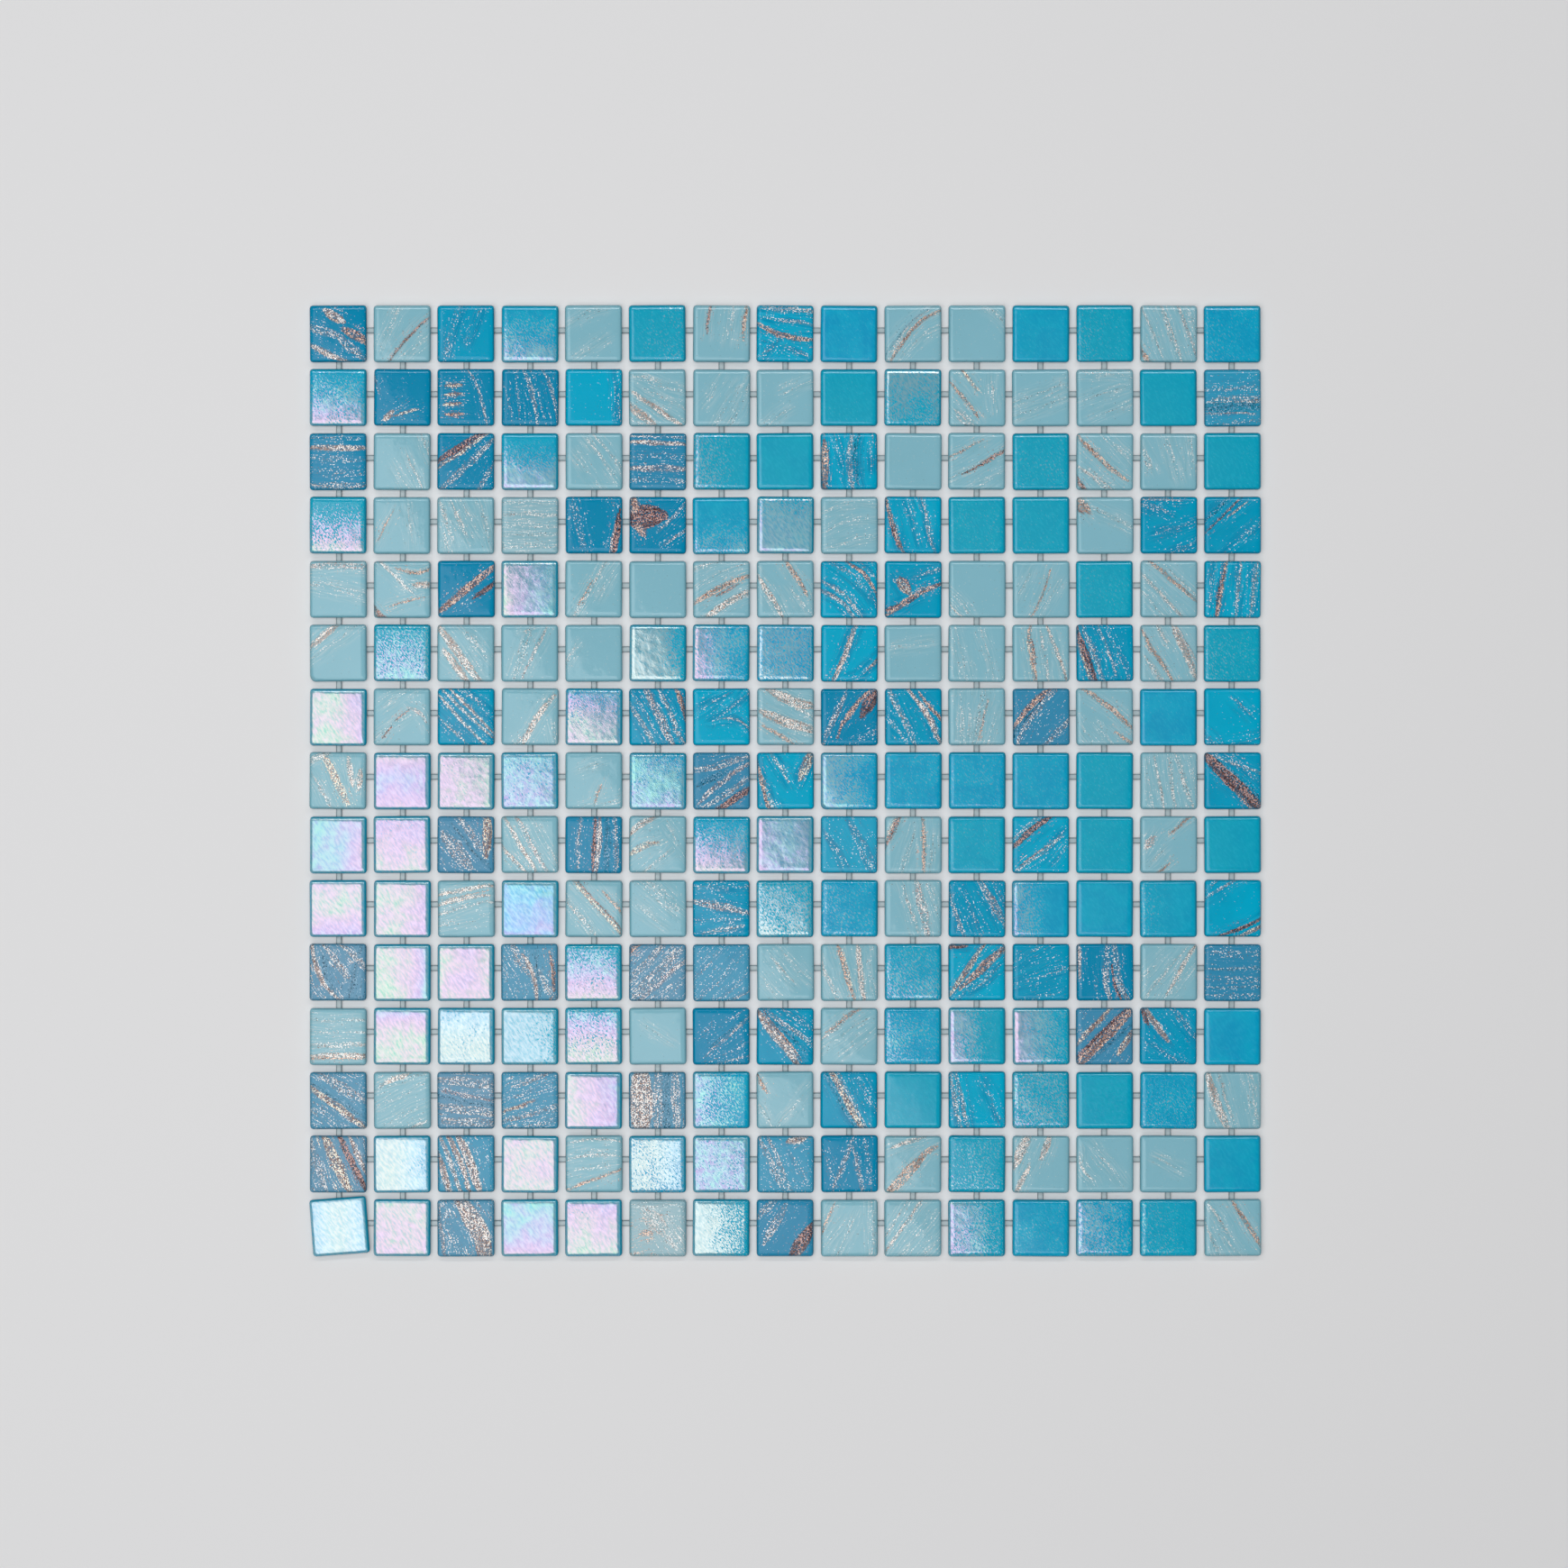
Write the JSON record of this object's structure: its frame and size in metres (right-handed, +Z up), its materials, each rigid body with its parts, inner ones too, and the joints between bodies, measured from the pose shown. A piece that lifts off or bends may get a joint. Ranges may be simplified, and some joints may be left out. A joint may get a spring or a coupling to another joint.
{
  "type": "mosaic tile sheet",
  "caption": "Loose square sheet of small pressed glass mosaic tiles in pearl, turquoise and pale aqua, bridged across their joints by short clear plastic bars.",
  "frame": {"origin": "middle of the sheet's underside, on the floor it lies on, at the back of the middle tile", "axes": "+Z up out of the glass faces, +X along a row of tiles, +Y up a column towards the first row"},
  "size_m": [0.3274, 0.3273, 0.004],
  "materials": {
    "pearl_glass": "opaque turquoise pressed glass with a fired-on iridescent pearl film",
    "turquoise_glass": "opaque deep turquoise pressed glass, glossy, with copper aventurine streaks",
    "aqua_glass": "opaque pale aqua pressed glass, glossy, with fine copper and silver streaks",
    "clear_bar": "translucent greyish hot-melt plastic"
  },
  "bodies": {
    "root": {"rows_01_03_pearl_tiles": "pearl_glass", "rows_01_03_turquoise_tiles": "turquoise_glass", "rows_01_03_aqua_tiles": "aqua_glass", "rows_04_06_pearl_tiles": "pearl_glass", "rows_04_06_turquoise_tiles": "turquoise_glass", "rows_04_06_aqua_tiles": "aqua_glass", "rows_07_09_pearl_tiles": "pearl_glass", "rows_07_09_turquoise_tiles": "turquoise_glass", "rows_07_09_aqua_tiles": "aqua_glass", "rows_10_12_pearl_tiles": "pearl_glass", "rows_10_12_turquoise_tiles": "turquoise_glass", "rows_10_12_aqua_tiles": "aqua_glass", "rows_13_15_pearl_tiles": "pearl_glass", "rows_13_15_turquoise_tiles": "turquoise_glass", "rows_13_15_aqua_tiles": "aqua_glass", "bars_between_columns": "clear_bar", "bars_between_rows": "clear_bar"}
  },
  "joints": []
}
